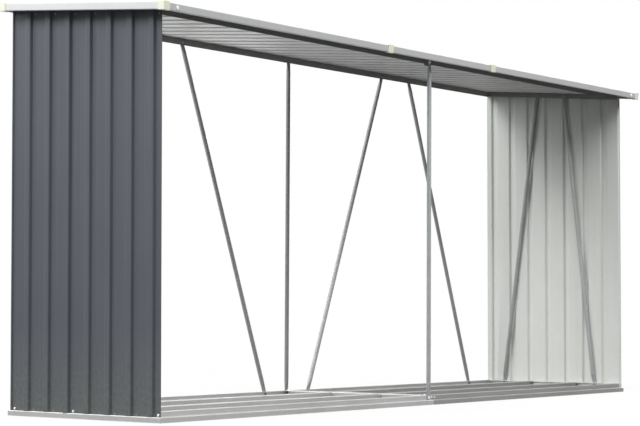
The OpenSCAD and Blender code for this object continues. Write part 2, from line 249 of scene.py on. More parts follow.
class Pen:
    """Writes nodes into one shader tree."""

    noise_roughness = 0.55
    mix_inputs = (0, 6, 7)
    mix_output = 2

    def __init__(self, tree: bpy.types.NodeTree) -> None:
        """Take the tree to write in."""
        self.tree = tree

    def wire(self, node: bpy.types.Node, inputs: dict) -> None:
        """Link sockets to a node's inputs and set plain values on its others.

        Args:
            node: The node.
            inputs: A socket or a plain value for each input name or index.
        """
        for name, value in inputs.items():
            if isinstance(value, Socket):
                self.tree.links.new(value, node.inputs[name])
            else:
                node.inputs[name].default_value = value

    def add(self, kind: str, inputs: dict | None = None, **settings: object) -> bpy.types.Node:
        """Add a node, set its properties and wire it.

        Args:
            kind: Node type.
            inputs: A socket or a plain value for each input name or index.
            settings: Properties of the node itself.

        Returns:
            The new node.
        """
        node = self.tree.nodes.new(kind)
        for name, value in settings.items():
            setattr(node, name, value)
        self.wire(node, inputs or {})
        return node

    def group(self, tree: bpy.types.NodeTree, **inputs: object) -> bpy.types.Node:
        """Place a shared group with its own values."""
        return self.add("ShaderNodeGroup", inputs, node_tree=tree)

    def math(self, operation: str, first: object, second: object, *others: object) -> Socket:
        """Join values by one operation, one after the other."""
        result = self.add("ShaderNodeMath", {0: first, 1: second}, operation=operation).outputs[0]
        return self.math(operation, result, *others) if others else result

    def product(self, *factors: object) -> Socket:
        """Multiply values, one after the other."""
        return self.math("MULTIPLY", *factors)

    def blend(self, first: Socket, second: Socket, share: float) -> Socket:
        """Add two values, the first by its share and the second by the rest."""
        return self.math("ADD", self.product(first, share), self.product(second, 1.0 - share))

    def mix(self, share: object, first: Socket, second: Socket, way: str = "MIX") -> Socket:
        """Mix two colours by the share of the second, in one of the node's ways."""
        inputs = dict(zip(self.mix_inputs, (share, first, second)))
        return self.add("ShaderNodeMix", inputs, data_type="RGBA", blend_type=way).outputs[self.mix_output]

    def layer(self, share: Socket, under: Socket, over: Socket) -> Socket:
        """Mix two shaders by the share of the second."""
        return self.add("ShaderNodeMixShader", dict(enumerate((share, under, over)))).outputs[0]

    def remap(self, value: Socket, span: Span) -> Socket:
        """Map a value through a span."""
        limits = (value, span.low, span.high, span.to_low, span.to_high)
        return self.add("ShaderNodeMapRange", dict(enumerate(limits)), clamp=True).outputs[0]

    def noise(self, vector: Socket, grain: Grain) -> Socket:
        """Add a noise texture and give its value."""
        inputs = {"Vector": vector, "Scale": grain.scale, "Detail": grain.detail}
        return self.add("ShaderNodeTexNoise", inputs | {"Roughness": self.noise_roughness}).outputs["Fac"]

    def stretch(self, vector: Socket, scale: object) -> Socket:
        """Scale a vector by parts."""
        return self.add("ShaderNodeMapping", {"Vector": vector, "Scale": scale}).outputs[0]


class Group(Pen):
    """A pen for one shared shader group with named sockets, which are plain values unless listed here."""

    kinds = {
        "Vector": "Vector", "Run": "Vector",
        "Color": "Color", "First": "Color", "Second": "Color", "Grime": "Color", "Bare": "Color",
    }

    def __init__(self, name: str, inputs: Iterable[str], outputs: Iterable[str]) -> None:
        """Start the group.

        Args:
            name: Name of the group.
            inputs: Names of its inputs.
            outputs: Names of its outputs.
        """
        super().__init__(bpy.data.node_groups.new(name, "ShaderNodeTree"))
        for way, sockets in (("INPUT", inputs), ("OUTPUT", outputs)):
            for socket in sockets:
                kind = self.kinds.get(socket, "Float")
                self.tree.interface.new_socket(socket, in_out=way, socket_type=f"NodeSocket{kind}")
        self.entry = self.tree.nodes.new("NodeGroupInput")

    def take(self, name: str) -> Socket:
        """Give one of the group's inputs."""
        return self.entry.outputs[name]

    def finish(self, **results: Socket) -> bpy.types.NodeTree:
        """Wire the group's outputs and give the group."""
        self.add("NodeGroupOutput", results)
        return self.tree


def rgba(color: Triple) -> tuple[float, float, float, float]:
    """Give a colour its full alpha."""
    return (*color, 1.0)


@dataclass
class Effects:
    """Shader groups that several finishes share, each made once, when it is first needed."""

    broad: Grain = Grain(3.2, 4.0)
    fine: Grain = Grain(46.0, 2.0)
    broad_share: float = 0.75
    drift_span: Span = Span(0.36, 0.64)
    bend_scale: float = 60.0
    bend_reach: float = 6.0 * MM
    crystal_scale: float = 110.0
    crystal_share: float = 0.55
    clouds: Grain = Grain(9.0, 4.0)
    even_shade: float = 0.5
    streaks: Grain = Grain(1.0, 4.0)
    streak_span: Span = Span(0.52, 0.78, 0.0, 0.7)
    ground_span: Span = Span(0.0, 0.34, 1.0, 0.0)
    speckles: Grain = Grain(70.0, 5.0)
    speckle_span: Span = Span(0.30, 0.7, 0.2, 1.0)
    rubs: Grain = Grain(9.0, 3.0)
    rub_span: Span = Span(0.36, 0.62, 0.6, 1.0)
    wave_run: Triple = (5.0, 5.0, 2.2)
    wave_grain: Grain = Grain(1.0, 2.0)
    peel_grain: Grain = Grain(420.0, 2.0)

    @cached_property
    def drift(self) -> bpy.types.NodeTree:
        """The slow drift between two shades of one coating.

        Returns:
            The group.
        """
        group = Group("coating_drift", ("Vector", "First", "Second"), ("Color", "Value"))
        place = group.take("Vector")
        mottle = group.blend(group.noise(place, self.broad), group.noise(place, self.fine), self.broad_share)
        value = group.remap(mottle, self.drift_span)
        color = group.mix(value, group.take("First"), group.take("Second"))
        return group.finish(Color=color, Value=value)

    @cached_property
    def spangle(self) -> bpy.types.NodeTree:
        """The zinc crystals of a galvanised sheet.

        Returns:
            The group.
        """
        group = Group("zinc_spangle", ("Vector", "Color", "Contrast"), ("Color", "Value"))
        place = group.take("Vector")
        bends = group.add("ShaderNodeTexNoise", {"Vector": place, "Scale": self.bend_scale}).outputs["Color"]
        scaled = {"Vector": bends, "Scale": self.bend_reach}
        offset = group.add("ShaderNodeVectorMath", scaled, operation="SCALE").outputs[0]
        moved = group.add("ShaderNodeVectorMath", {0: place, 1: offset}, operation="ADD").outputs[0]
        cells = group.add("ShaderNodeTexVoronoi", {"Vector": moved, "Scale": self.crystal_scale})
        crystal = group.add("ShaderNodeSeparateColor", {"Color": cells.outputs["Color"]}).outputs["Red"]
        value = group.blend(crystal, group.noise(place, self.clouds), self.crystal_share)
        swing = group.product(group.math("SUBTRACT", value, self.even_shade), group.take("Contrast"))
        shade = group.math("ADD", 1.0, swing)
        grey = group.add("ShaderNodeCombineColor", {"Red": shade, "Green": shade, "Blue": shade}).outputs[0]
        return group.finish(Color=group.mix(1.0, group.take("Color"), grey, "MULTIPLY"), Value=value)

    @cached_property
    def grime(self) -> bpy.types.NodeTree:
        """Streaks along one direction and splashed dirt near the ground. Where the streak colour is lighter
        than the coat, as on the wall paint, the streaks are a painted reflection and the lightening near the
        ground is painted bounce light from the floor.

        Returns:
            The group.
        """
        inputs = ("Vector", "Color", "Grime", "Amount", "Run", "Splash")
        group = Group("streak_grime", inputs, ("Color", "Mask"))
        place = group.take("Vector")
        runs = group.noise(group.stretch(place, group.take("Run")), self.streaks)
        height = group.add("ShaderNodeSeparateXYZ", {"Vector": place}).outputs["Z"]
        near_ground = group.remap(height, self.ground_span)
        speckle = group.remap(group.noise(place, self.speckles), self.speckle_span)
        splash = group.product(near_ground, speckle, group.take("Splash"))
        soil_and_sheen = group.math("MAXIMUM", group.remap(runs, self.streak_span), splash)
        mask = group.product(soil_and_sheen, group.take("Amount"))
        return group.finish(Color=group.mix(mask, group.take("Color"), group.take("Grime")), Mask=mask)

    @cached_property
    def fold_wear(self) -> bpy.types.NodeTree:
        """The rubbed coating along the folds of a sheet, and a painted highlight along them where the fold
        colour is lighter than the coat.

        Returns:
            The group.
        """
        group = Group("fold_wear", ("Vector", "Color", "Bare", "Fold", "Amount"), ("Color",))
        broken = group.remap(group.noise(group.take("Vector"), self.rubs), self.rub_span)
        mask = group.product(broken, group.take("Fold"), group.take("Amount"))
        return group.finish(Color=group.mix(mask, group.take("Color"), group.take("Bare")))

    @cached_property
    def ripple(self) -> bpy.types.NodeTree:
        """The slow waves of thin sheet and the fine peel of its coating.

        Returns:
            The group.
        """
        group = Group("sheet_ripple", ("Vector", "Waves", "Peel"), ("Height",))
        place = group.take("Vector")
        slow = group.noise(group.stretch(place, self.wave_run), self.wave_grain)
        waves = group.product(slow, group.take("Waves"))
        peel = group.product(group.noise(place, self.peel_grain), group.take("Peel"))
        return group.finish(Height=group.math("ADD", waves, peel))


@dataclass(frozen=True)
class Finish:
    """One surface finish, as the values of its shared effects.

    Colours are linear, and waves and peel are heights in metres. Run gives how fast the streaks change
    along X, Y and Z, and grime_roughness what the full streak mask adds to the roughness. The fold
    colour is rubbed coating where it is darker than the coat and a painted highlight where it is lighter.
    """

    name: str
    first: Triple
    second: Triple
    roughness: float
    rough_spread: float = 0.08
    metallic: float = 0.0
    specular: float = 0.5
    spangle: float = 0.0
    grime: float = 0.0
    grime_color: Triple = (0.20, 0.18, 0.15)
    grime_roughness: float = 0.3
    run: Triple = (38.0, 38.0, 1.1)
    splash: float = 1.0
    wear: float = 0.0
    bare: Triple = (0.55, 0.56, 0.57)
    waves: float = 0.0
    peel: float = 0.02 * MM

    def material(self, effects: Effects) -> bpy.types.Material:
        """Build the finish as a procedural material.

        Args:
            effects: The shared shader groups.

        Returns:
            The material.
        """
        made = bpy.data.materials.new(self.name)
        made.use_nodes = True
        pen = Pen(made.node_tree)
        place = pen.add("ShaderNodeTexCoord").outputs["Object"]
        coat = pen.group(effects.drift, Vector=place, First=rgba(self.first), Second=rgba(self.second))
        color = coat.outputs["Color"]
        if self.spangle:
            coat = pen.group(effects.spangle, Vector=place, Color=color, Contrast=self.spangle)
            color = coat.outputs["Color"]
        rough_span = Span(0.0, 1.0, self.roughness - self.rough_spread, self.roughness + self.rough_spread)
        roughness = pen.remap(coat.outputs["Value"], rough_span)
        if self.wear:
            fold = pen.add("ShaderNodeAttribute", attribute_name=FOLD_LAYER).outputs["Fac"]
            worn_and_lit = pen.group(
                effects.fold_wear, Vector=place, Color=color, Bare=rgba(self.bare),
                Fold=fold, Amount=self.wear,
            )
            color = worn_and_lit.outputs["Color"]
        if self.grime:
            soiled_and_lit = pen.group(
                effects.grime, Vector=place, Color=color, Grime=rgba(self.grime_color),
                Amount=self.grime, Run=self.run, Splash=self.splash,
            )
            color = soiled_and_lit.outputs["Color"]
            dull = pen.product(soiled_and_lit.outputs["Mask"], self.grime_roughness)
            roughness = pen.math("ADD", roughness, dull)
        ripple = pen.group(effects.ripple, Vector=place, Waves=self.waves, Peel=self.peel)
        bump = pen.add("ShaderNodeBump", {"Height": ripple.outputs["Height"], "Distance": 1.0})
        pen.wire(made.node_tree.nodes["Principled BSDF"], {
            "Base Color": color, "Roughness": roughness, "Normal": bump.outputs[0],
            "Metallic": self.metallic, "Specular IOR Level": self.specular,
        })
        return made


# Painted light: the lighter, greener streak colour paints reflection streaks down the wall and floor bounce
# light near the ground, and the lighter fold colour a highlight along the rib bends.
WALL_PAINT = Finish(
    "wall_paint", first=(0.100, 0.109, 0.132), second=(0.108, 0.118, 0.136), roughness=0.46, specular=0.2,
    grime=0.26, grime_color=(0.21, 0.228, 0.185), run=(64.0, 64.0, 0.7), splash=2.3,
    wear=0.20, bare=(0.18, 0.19, 0.20), waves=1.0 * MM,
)
WALL_LINING = Finish(
    "wall_lining", first=(0.746, 0.768, 0.732), second=(0.786, 0.808, 0.776), roughness=0.56, specular=0.08,
    grime=0.08, splash=0.0, wear=0.10, waves=1.0 * MM,
)
# Painted highlight: the lighter fold colour brightens the rib bends.
ROOF_PAINT = Finish(
    "roof_paint", first=(0.104, 0.112, 0.124), second=(0.114, 0.122, 0.130), roughness=0.46, specular=0.2,
    grime=0.12, wear=0.20, bare=(0.18, 0.19, 0.20), waves=0.8 * MM,
)
ROOF_LINING = Finish(
    "roof_lining", first=(0.72, 0.73, 0.72), second=(0.76, 0.77, 0.76), roughness=0.40, rough_spread=0.05,
    specular=0.022, grime=0.05, waves=0.8 * MM,
)
TRIM_COAT = Finish(
    "trim_coat", first=(0.79, 0.81, 0.81), second=(0.84, 0.85, 0.85), roughness=0.44, specular=0.2,
    grime=0.06, wear=0.12, waves=0.3 * MM,
)
# Painted shade: the same trim coat made darker for the front and back trims, which face away from the main
# lamps.
SHADED_TRIM_COAT = replace(
    TRIM_COAT, name="long_trim_coat", first=(0.60, 0.612, 0.612), second=(0.64, 0.65, 0.65),
)
BEAM_PAINT = Finish(
    "beam_paint", first=(0.27, 0.271, 0.266), second=(0.295, 0.295, 0.290), roughness=0.50, specular=0.2,
    grime=0.08, wear=0.15, bare=(0.27, 0.27, 0.27), waves=0.3 * MM,
)
# Painted highlight: the near-white fold colour makes bright lines along the rounded bends of all the zinc
# sheets.
ZINC_SHEET = Finish(
    "zinc_sheet", first=(0.50, 0.50, 0.49), second=(0.57, 0.57, 0.56), roughness=0.44, rough_spread=0.06,
    metallic=0.35, spangle=0.05, grime=0.30, grime_color=(0.30, 0.27, 0.25), run=(1.8, 26.0, 30.0),
    splash=0.2, wear=0.85, bare=(0.88, 0.89, 0.89), waves=0.3 * MM, peel=0.0,
)
ZINC_END_SHEET = replace(
    ZINC_SHEET, name="zinc_end_sheet", first=(0.44, 0.44, 0.43), second=(0.50, 0.50, 0.49),
    run=(26.0, 1.8, 30.0),
)
# Painted shade: the same zinc made darker for the right halves of the long base parts.
ZINC_SHADED_SHEET = replace(
    ZINC_SHEET, name="zinc_dull_sheet", first=(0.28, 0.28, 0.275), second=(0.34, 0.34, 0.33),
    bare=(0.60, 0.61, 0.61),
)
# Painted light: the same zinc made paler for the inner faces of the outer base rails.
ZINC_LIT_INSIDE = replace(ZINC_SHEET, name="zinc_inside", first=(0.82, 0.82, 0.81), second=(0.88, 0.88, 0.87))
ZINC_TUBE = Finish(
    "zinc_tube", first=(0.25, 0.255, 0.255), second=(0.30, 0.305, 0.305), roughness=0.46,
    metallic=0.15, specular=0.2, spangle=0.10, grime=0.10,
)
# Painted light: the brace and post finishes below are this zinc made paler, lit copies of one finish.
ZINC_LIT_BRACE = replace(ZINC_TUBE, name="zinc_brace", first=(0.31, 0.315, 0.32), second=(0.37, 0.375, 0.38))
ZINC_BRIGHT_LIT_BRACE = replace(
    ZINC_TUBE, name="zinc_pale_brace", first=(0.375, 0.385, 0.39), second=(0.45, 0.46, 0.465),
)
ZINC_LIT_POST = replace(ZINC_TUBE, name="zinc_post", first=(0.43, 0.45, 0.46), second=(0.50, 0.52, 0.53))
CREAM_PLASTIC = Finish(
    "cream_plastic", first=(0.92, 0.93, 0.74), second=(0.95, 0.96, 0.80), roughness=0.45,
    grime=0.05, peel=0.05 * MM,
)
BRIGHT_ZINC = Finish(
    "bright_zinc", first=(0.84, 0.85, 0.86), second=(0.92, 0.93, 0.94), roughness=0.30,
    metallic=0.6, spangle=0.10,
)
DULL_ZINC = Finish(
    "dull_zinc", first=(0.26, 0.27, 0.28), second=(0.32, 0.33, 0.34), roughness=0.46,
    metallic=0.5, spangle=0.15,
)


class Finishes:
    """The materials of the finishes, each built when a piece first needs it."""

    def __init__(self) -> None:
        """Start with the shared effects and no material."""
        self.effects = Effects()
        self.built: dict[Finish, bpy.types.Material] = {}

    def dress(self, piece: Piece, *finishes: Finish) -> None:
        """Give a piece its finishes, in order, in place of the ones it has.

        Args:
            piece: The piece.
            finishes: Its finishes.
        """
        piece.data.materials.clear()
        for finish in finishes:
            if finish not in self.built:
                self.built[finish] = finish.material(self.effects)
            piece.data.materials.append(self.built[finish])


def nodes_like(*starts: str) -> list[str]:
    """List the CAD nodes whose names begin in one of the given ways."""
    return sorted(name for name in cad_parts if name.startswith(starts))


def tubes_on(side: Side) -> list[str]:
    """List the CAD nodes of the posts and braces on one side."""
    return nodes_like(*(f"{side.label}_{kind}" for kind in ("center_post", "brace", "wall_brace")))


def work_on(piece: Piece) -> None:
    """Deselect everything and make one piece active.

    Args:
        piece: The piece.
    """
    bpy.ops.object.select_all(action="DESELECT")
    piece.select_set(True)
    bpy.context.view_layer.objects.active = piece


def select_where(piece: Piece, element: Element, wanted: Callable[[object], bool]) -> int:
    """Select the edges or faces of a piece that pass a test, in edit mode.

    Args:
        piece: The piece in edit mode.
        element: What is selected.
        wanted: The test.

    Returns:
        How many were found.
    """
    bpy.ops.mesh.select_mode(type=element.name)
    bpy.ops.mesh.select_all(action="DESELECT")
    found = 0
    for candidate in getattr(bmesh.from_edit_mesh(piece.data), element.value):
        candidate.select = wanted(candidate)
        found += candidate.select
    bmesh.update_edit_mesh(piece.data)
    return found


def smooth(piece: Piece, angle: float = SMOOTH_ANGLE) -> None:
    """Smooth the round stretches of a piece and keep its flats flat.

    Args:
        piece: The piece.
        angle: Sharpest angle that is still smoothed.
    """
    work_on(piece)
    bpy.ops.object.shade_smooth_by_angle(angle=angle)
    weighted = piece.modifiers.new("weighted", "WEIGHTED_NORMAL")
    weighted.keep_sharp = True
    bpy.ops.object.modifier_apply(modifier=weighted.name)


def seat(piece: Piece, slot: Slot, *nodes: str) -> None:
    """Fix a finished piece to the store and report it.

    Args:
        piece: The piece.
        slot: Slot that its finish belongs to; not used.
        nodes: CAD nodes that it stands for.
    """
    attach(piece, "root")
    if nodes:
        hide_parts(*nodes)
    LOG.info("%s: %d faces", piece.name, len(piece.data.polygons))


def merged_copy(node: str) -> Piece:
    """Copy a node's mesh into a new piece, merged and with whole flat faces.

    Args:
        node: Name of the CAD node.

    Returns:
        The new piece.
    """
    piece = bpy.data.objects.new(f"{node}_skin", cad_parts[node].data.copy())
    bpy.context.scene.collection.objects.link(piece)
    work_on(piece)
    bpy.ops.mesh.customdata_custom_splitnormals_clear()
    bpy.ops.object.mode_set(mode="EDIT")
    bpy.ops.mesh.select_all(action="SELECT")
    bpy.ops.mesh.remove_doubles(threshold=MERGE_GAP)
    bpy.ops.mesh.dissolve_limited(angle_limit=FLAT_ANGLE)
    bpy.ops.object.mode_set(mode="OBJECT")
    return piece


def join(pieces: Sequence[Piece], name: str) -> Piece:
    """Join pieces into one whose place is in its mesh.

    Args:
        pieces: The pieces.
        name: Name of the joined piece.

    Returns:
        The joined piece.
    """
    work_on(pieces[0])
    for piece in pieces:
        piece.select_set(True)
    if len(pieces) > 1:
        bpy.ops.object.join()
    bpy.ops.object.transform_apply(location=True, rotation=True, scale=True)
    pieces[0].name = name
    return pieces[0]


@dataclass(frozen=True)
class FoldRule:
    """How the bends of a folded sheet are rounded, in metres.

    A bend lies between two faces that are wider than least_width sheet thicknesses.
    """

    sheet: float
    outer: float
    inner: float
    segments: int = 3
    least_run: float = 200.0 * MM
    least_width: float = 1.6
    least_turn: float = math.radians(12.0)

    def is_fold(self, edge: bmesh.types.BMEdge, convex: bool) -> bool:
        """Tell whether an edge is a long outer or inner bend between two wide faces.

        Args:
            edge: The edge.
            convex: Whether an outer bend is meant.

        Returns:
            Whether it is such a bend.
        """
        length = edge.calc_length()
        if len(edge.link_faces) != 2 or edge.is_convex != convex or length < self.least_run:
            return False
        width = min(face.calc_area() for face in edge.link_faces) / length
        return width > self.least_width * self.sheet and edge.calc_face_angle() > self.least_turn

    def apply(self, piece: Piece) -> None:
        """Round the outer and then the inner corners of every bend and mark the rounded faces.

        Args:
            piece: The piece.
        """
        work_on(piece)
        bpy.ops.object.mode_set(mode="EDIT")
        for convex, radius in ((True, self.outer), (False, self.inner)):
            if select_where(piece, Element.EDGE, lambda edge: self.is_fold(edge, convex)):
                bpy.ops.mesh.bevel(offset=radius, segments=self.segments, affect="EDGES", clamp_overlap=True)
                self.mark(piece)
        bpy.ops.object.mode_set(mode="OBJECT")

    @staticmethod
    def mark(piece: Piece) -> None:
        """Mark the faces that a bevel has just made, in edit mode.

        Args:
            piece: The piece in edit mode.
        """
        shape = bmesh.from_edit_mesh(piece.data)
        layer = shape.faces.layers.float.get(FOLD_LAYER) or shape.faces.layers.float.new(FOLD_LAYER)
        for face in shape.faces:
            if face.select:
                face[layer] = 1.0
        bmesh.update_edit_mesh(piece.data)


RIB_FOLDS = FoldRule(GAUGE.panel_sheet, outer=2.6 * MM, inner=1.4 * MM)
RAIL_FOLDS = FoldRule(GAUGE.rail_sheet, outer=2.6 * MM, inner=1.0 * MM, segments=4)
TRIM_FOLDS = FoldRule(GAUGE.trim_sheet, outer=2.4 * MM, inner=0.8 * MM, segments=4)


@dataclass(frozen=True)
class FoldedSheet:
    """A pressed or folded sheet piece, made from its CAD node.

    The inside finish covers the faces that look against outward by more than inside_limit, and the outside
    finish the others.
    """

    node: str
    rule: FoldRule
    slot: Slot
    outside: Finish
    inside: Finish | None = None
    outward: Vector | None = None
    inside_limit: float = 0.15

    def build(self, finishes: Finishes) -> None:
        """Copy the node, round its bends, dress both sides and seat it.

        Args:
            finishes: The store's materials.
        """
        piece = merged_copy(self.node)
        self.rule.apply(piece)
        smooth(piece)
        if self.inside is None or self.outward is None:
            finishes.dress(piece, self.outside)
        else:
            finishes.dress(piece, self.outside, self.inside)
            for face in piece.data.polygons:
                face.material_index = int(face.normal.dot(self.outward) < -self.inside_limit)
        seat(piece, self.slot, self.node)


@dataclass
class SheetWork:
    """All folded sheets of the store: base, walls, top frame, roof and trims."""

    layout: Layout
    finishes: Finishes

    def build(self) -> None:
        """Build every sheet piece, in order."""
        for sheet in chain(self.base(), self.walls(), self.top_frame(), self.roof()):
            sheet.build(self.finishes)

    def base(self) -> Iterator[FoldedSheet]:
        """Yield the cross rail, the stringers and the outer rails, their insides paler as painted light."""
        slot = Slot.BASE_RAILS
        yield FoldedSheet("base_cross_rail", RAIL_FOLDS, slot, ZINC_END_SHEET)
        for node in nodes_like("floor_stringer"):
            yield FoldedSheet(node, RAIL_FOLDS, slot, self.long_zinc(node))
        for side in Side:
            for node in nodes_like(f"base_rail_{side.label}"):
                zinc = ZINC_END_SHEET if side in ENDS else self.long_zinc(node)
                yield FoldedSheet(node, RAIL_FOLDS, slot, zinc, ZINC_LIT_INSIDE, side.outward)

    @staticmethod
    def long_zinc(node: str) -> Finish:
        """Choose the zinc of a long base part, darker on the right half as a painted shade."""
        return ZINC_SHADED_SHEET if node.endswith("right") else ZINC_SHEET

    def walls(self) -> Iterator[FoldedSheet]:
        """Yield the ribbed end walls."""
        for side in ENDS:
            for node in nodes_like(f"{side.label}_wall_back_p", f"{side.label}_wall_front_p"):
                yield FoldedSheet(node, RIB_FOLDS, Slot.WALL_SHEET, WALL_PAINT, WALL_LINING, side.outward)

    def top_frame(self) -> Iterator[FoldedSheet]:
        """Yield the angle rails under the roof."""
        for node in nodes_like("top_rail"):
            yield FoldedSheet(node, RAIL_FOLDS, Slot.TOP_RAILS, BEAM_PAINT)

    def roof(self) -> Iterator[FoldedSheet]:
        """Yield the ribbed roof sheets and the trims round them."""
        for node in nodes_like("roof_panel"):
            yield FoldedSheet(node, RIB_FOLDS, Slot.ROOF_SHEET, ROOF_PAINT, ROOF_LINING, self.layout.roof_up)
        ends = nodes_like("trim_left", "trim_right")
        for node in nodes_like("trim_"):
            # The front and back trims take the darker coat, a painted shade.
            yield FoldedSheet(node, TRIM_FOLDS, Slot.EDGE_TRIM, TRIM_COAT if node in ends else SHADED_TRIM_COAT)


@dataclass
class Tubes:
    """Round posts and braces with flattened ends."""

    finishes: Finishes
    smooth_angle: float = math.radians(40.0)
    # Braces whose zinc is painted lighter still, as painted light.
    pale_braces: tuple[str, ...] = (
        "back_brace_left_outer", "back_brace_right_inner", "left_wall_brace_front", "right_wall_brace_front",
    )

    def build(self) -> None:
        """Copy, smooth and dress every tube."""
        for node in sorted(node for side in Side for node in tubes_on(side)):
            piece = merged_copy(node)
            smooth(piece, self.smooth_angle)
            self.finishes.dress(piece, self.zinc(node))
            seat(piece, Slot.TUBES, node)

    def zinc(self, node: str) -> Finish:
        """Choose the zinc of one tube, as painted light and shade: lightest on the front post, in the open,
        and darkest on the back post, under the roof.

        Args:
            node: CAD node of the tube.

        Returns:
            Its finish.
        """
        if node.startswith("front"):
            return ZINC_LIT_POST
        if node in self.pale_braces:
            return ZINC_BRIGHT_LIT_BRACE
        return ZINC_LIT_BRACE if "brace" in node else ZINC_TUBE


@dataclass
class Mouldings:
    """Plastic corner caps and joint clips with rounded edges."""

    finishes: Finishes
    edge_radius: float = 1.6 * MM
    edge_segments: int = 3
    edge_angle: float = math.radians(40.0)

    def build(self) -> None:
        """Round and dress the caps and clips."""
        for node in ("corner_caps", "joint_clips"):
            piece = merged_copy(node)
            work_on(piece)
            rounding = piece.modifiers.new("rounding", "BEVEL")
            rounding.width = self.edge_radius
            rounding.segments = self.edge_segments
            rounding.limit_method = "ANGLE"
            rounding.angle_limit = self.edge_angle
            bpy.ops.object.modifier_apply(modifier=rounding.name)
            smooth(piece)
            self.finishes.dress(piece, CREAM_PLASTIC)
            seat(piece, Slot.CAPS, node)


@dataclass
class SplicePlates:
    """Plates that cover the joints of the long top rails, beside the tops of the middle posts."""

    layout: Layout
    finishes: Finishes
    width: float = 25.0 * MM
    sheet: float = 3.0 * MM
    rise: float = 16.0 * MM
    front_hang: float = 8.0 * MM
    corner: float = 2.6 * MM
    corner_segments: int = 4
    rim: float = 0.6 * MM
    rim_segments: int = 2
    clearance: float = 1.0 * MM

    def build(self) -> None:
        """Build the plates at the front and at the back."""
        plates = [self.plate(Side.FRONT, self.front_hang), self.plate(Side.BACK, 0.0)]
        seat(join(plates, "top_rail_splice_plates"), Slot.TOP_RAILS)

    def plate(self, side: Side, hang: float) -> Piece:
        """Model one plate from a cube with rounded corners and a broken rim.

        Args:
            side: The side that it is on.
            hang: How far it hangs under the rail.

        Returns:
            The plate.
        """
        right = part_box(f"{side.label}_center_post")[1].x - 2 * GAUGE.tab_radius - self.clearance
        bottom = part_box(f"top_rail_{side.label}_left")[0].z - hang
        height = hang + self.rise
        y = self.layout.face(side) + side.sign * self.sheet / 2
        bpy.ops.object.select_all(action="DESELECT")
        bpy.ops.mesh.primitive_cube_add(
            size=1.0, location=(right - self.width / 2, y, bottom + height / 2),
            scale=(self.width, self.sheet, height),
        )
        piece = bpy.context.object
        bpy.ops.object.transform_apply(location=True, rotation=True, scale=True)
        bpy.ops.object.mode_set(mode="EDIT")
        select_where(piece, Element.EDGE, self.runs_through)
        bpy.ops.mesh.bevel(offset=self.corner, segments=self.corner_segments, affect="EDGES")
        select_where(piece, Element.FACE, lambda face: face.normal.dot(side.outward) > FACING)
        bpy.ops.mesh.bevel(offset=self.rim, segments=self.rim_segments, affect="EDGES")
        bpy.ops.object.mode_set(mode="OBJECT")
        smooth(piece)
        self.finishes.dress(piece, BEAM_PAINT)
        return piece

    @staticmethod
    def runs_through(edge: bmesh.types.BMEdge) -> bool:
        """Tell whether an edge runs through the thickness of a plate."""
        run = edge.verts[1].co - edge.verts[0].co
        return abs(run.y) > FACING * run.length


@dataclass(frozen=True)
class DiscHead:
    """A round or hexagonal head with a broken rim, standing on Z = 0 or higher.

    Recess is the depth of its driver recess, recess_inset the recess's distance from the rim as a share
    of the flat top's radius, and recess_taper the inward run of its wall as a share of the depth.
    """

    radius: float
    height: float
    rim: float
    sides: int
    base: float = 0.0
    rim_segments: int = 2
    recess: float = 0.0
    recess_inset: float = 0.3
    recess_taper: float = 0.2

    def build(self) -> Piece:
        """Model the head from a cylinder with a bevelled top and, where asked, a driver recess.

        Returns:
            The head.
        """
        bpy.ops.object.select_all(action="DESELECT")
        bpy.ops.mesh.primitive_cylinder_add(
            vertices=self.sides, radius=self.radius, depth=self.height,
            location=UP * (self.base + self.height / 2),
        )
        piece = bpy.context.object
        bpy.ops.object.transform_apply(location=True)
        bpy.ops.object.mode_set(mode="EDIT")
        select_where(piece, Element.FACE, self.is_top)
        bpy.ops.mesh.bevel(offset=self.rim, segments=self.rim_segments, affect="EDGES")
        if self.recess:
            select_where(piece, Element.FACE, self.is_top)
            bpy.ops.mesh.inset(thickness=(self.radius - self.rim) * self.recess_inset, depth=0.0)
            bpy.ops.mesh.inset(thickness=self.recess * self.recess_taper, depth=-self.recess)
        bpy.ops.object.mode_set(mode="OBJECT")
        return piece

    def is_top(self, face: bmesh.types.BMFace) -> bool:
        """Tell whether a face lies in the head's flat top."""
        level = self.base + self.height
        return face.normal.z > FACING and abs(face.calc_center_median().z - level) < LEVEL_GAP


WASHER = DiscHead(radius=6.8 * MM, height=1.2 * MM, rim=0.4 * MM, sides=20)
PAN_WASHER = DiscHead(radius=5.2 * MM, height=1.2 * MM, rim=0.4 * MM, sides=18)
BOLT_HEAD = DiscHead(radius=4.8 * MM, height=3.4 * MM, rim=0.7 * MM, sides=6, base=WASHER.height)
NUT = replace(BOLT_HEAD, height=4.0 * MM)
BOLT_END = DiscHead(radius=2.5 * MM, height=7.0 * MM, rim=0.5 * MM, sides=12)
PAN_HEAD = DiscHead(
    radius=4.16 * MM, height=2.6 * MM, rim=1.3 * MM, sides=16, base=PAN_WASHER.height,
    rim_segments=3, recess=0.8 * MM,
)
SCREW_HEAD = DiscHead(
    radius=3.2 * MM, height=1.8 * MM, rim=1.1 * MM, sides=12, rim_segments=3, recess=0.6 * MM,
)
DOME_HEAD = DiscHead(radius=7.2 * MM, height=2.8 * MM, rim=2.2 * MM, sides=20, rim_segments=4)
STUD_HEAD = DiscHead(radius=4.0 * MM, height=2.8 * MM, rim=1.8 * MM, sides=16, rim_segments=4)


